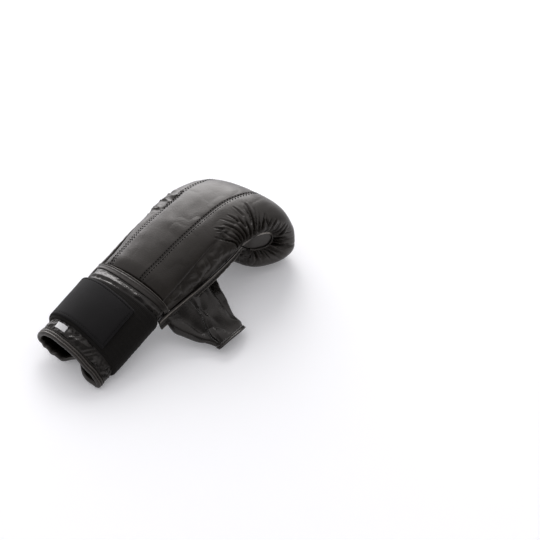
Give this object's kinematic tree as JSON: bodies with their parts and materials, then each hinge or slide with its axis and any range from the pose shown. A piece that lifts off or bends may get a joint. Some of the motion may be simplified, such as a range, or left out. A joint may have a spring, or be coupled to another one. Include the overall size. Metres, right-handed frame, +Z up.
{
  "type": "bag glove",
  "caption": "Leather bag glove for the left hand with a padded back, curled fist, open thumb, palm grip bar, wide elastic wrist band and soft cuff.",
  "frame": {"origin": "on the table, under the middle of the glove's box", "axes": "+X from the cuff to the knuckles, +Y to the little-finger side, +Z up from the table, the back of the hand up"},
  "size_m": [0.2782, 0.1632, 0.0807],
  "materials": {
    "black_leather": "semi-gloss smooth leather over padding",
    "edge_leather": "satin cut and bound leather edge",
    "soft_leather": "semi-gloss thin leather, creased",
    "elastic": "matte woven elastic",
    "loop_fabric": "matte smooth woven patch",
    "white_woven": "white woven tape, blank"
  },
  "bodies": {
    "root": {"back_panel_index": "black_leather", "back_panel_middle": "black_leather", "back_panel_little": "black_leather", "side_gusset_index": "black_leather", "side_gusset_little": "black_leather", "palm_panel": "black_leather", "grip_bar": "black_leather", "finger_panel": "black_leather", "side_welt_index": "edge_leather", "side_welt_little": "edge_leather", "thumb": "soft_leather", "thumb_hem": "soft_leather", "wrist_trim": "edge_leather", "cuff": "soft_leather", "cuff_hem": "edge_leather", "wrist_strap": "elastic", "strap_patch": "loop_fabric", "size_tab": "white_woven"}
  },
  "joints": []
}
